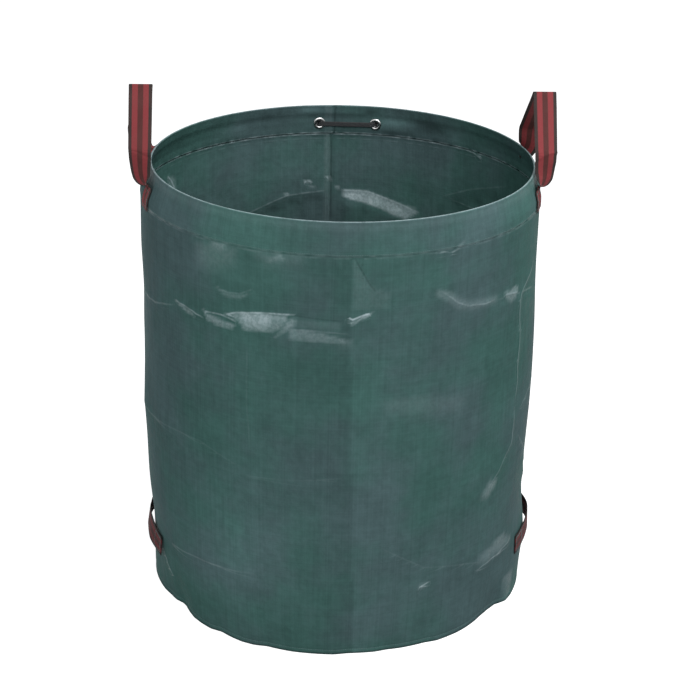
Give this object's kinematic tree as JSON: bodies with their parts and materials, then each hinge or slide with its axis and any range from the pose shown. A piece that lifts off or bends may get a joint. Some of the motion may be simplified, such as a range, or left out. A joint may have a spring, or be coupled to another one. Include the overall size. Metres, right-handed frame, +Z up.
{
  "type": "pop up leaf bag",
  "caption": "Round woven-sheet garden waste bag held open by a hoop in its top hem, with webbing handles at the rim and near the base and an elastic band through eyelets.",
  "frame": {"origin": "middle of the base on the ground", "axes": "+Z up, +X towards the right handle, -Y the front, +Y the back seam and closing band"},
  "size_m": [0.7548, 0.6852, 0.957],
  "materials": {
    "woven_sheet": "dark teal laminated woven polypropylene, slight sheen",
    "webbing": "ribbed red and dark brown striped polypropylene webbing",
    "thread": "twisted sewing thread",
    "hoop_plastic": "matte black",
    "eyelet_steel": "bright plated steel",
    "elastic": "black flat elastic, fine lengthwise ribs"
  },
  "bodies": {
    "base": {"base_panel": "woven_sheet", "wall_panel": "woven_sheet", "base_seam_thread": "thread", "back_seam_thread": "thread", "lower_left_handle_front_end": "webbing", "lower_left_handle_front_stitching": "thread", "lower_left_handle_rear_end": "webbing", "lower_left_handle_rear_stitching": "thread", "lower_right_handle_front_end": "webbing", "lower_right_handle_front_stitching": "thread", "lower_right_handle_rear_end": "webbing", "lower_right_handle_rear_stitching": "thread"},
    "rim": {"rim_hem": "woven_sheet", "hem_thread": "thread", "rim_hoop": "hoop_plastic", "hoop_sleeve": "hoop_plastic", "eyelet_left": "eyelet_steel", "eyelet_right": "eyelet_steel", "washer_left": "eyelet_steel", "washer_right": "eyelet_steel", "closing_band": "elastic", "left_handle_front_end": "webbing", "left_handle_front_stitching": "thread", "left_handle_rear_end": "webbing", "left_handle_rear_stitching": "thread", "right_handle_front_end": "webbing", "right_handle_front_stitching": "thread", "right_handle_rear_end": "webbing", "right_handle_rear_stitching": "thread"},
    "left_handle": {"left_handle_loop": "webbing"},
    "right_handle": {"right_handle_loop": "webbing"},
    "lower_left_handle": {"lower_left_handle_loop": "webbing"},
    "lower_right_handle": {"lower_right_handle_loop": "webbing"}
  },
  "joints": [
    {"name": "rim_collapse", "type": "slide", "parent": "base", "child": "rim", "axis": [0, 0, -1], "range_m": [0, 0.6], "deforming": ["wall_panel", "back_seam_thread"]},
    {"name": "left_handle_swing", "type": "hinge", "parent": "rim", "child": "left_handle", "pos_m": [-0.3456, 0, 0.8155], "axis": [0, -1, 0], "range_deg": [0, 135]},
    {"name": "right_handle_swing", "type": "hinge", "parent": "rim", "child": "right_handle", "pos_m": [0.3456, 0, 0.8155], "axis": [0, 1, 0], "range_deg": [0, 135]},
    {"name": "lower_left_handle_pull", "type": "slide", "parent": "base", "child": "lower_left_handle", "axis": [-1, 0, 0], "range_m": [0, 0.02]},
    {"name": "lower_right_handle_pull", "type": "slide", "parent": "base", "child": "lower_right_handle", "axis": [1, 0, 0], "range_m": [0, 0.02]}
  ]
}
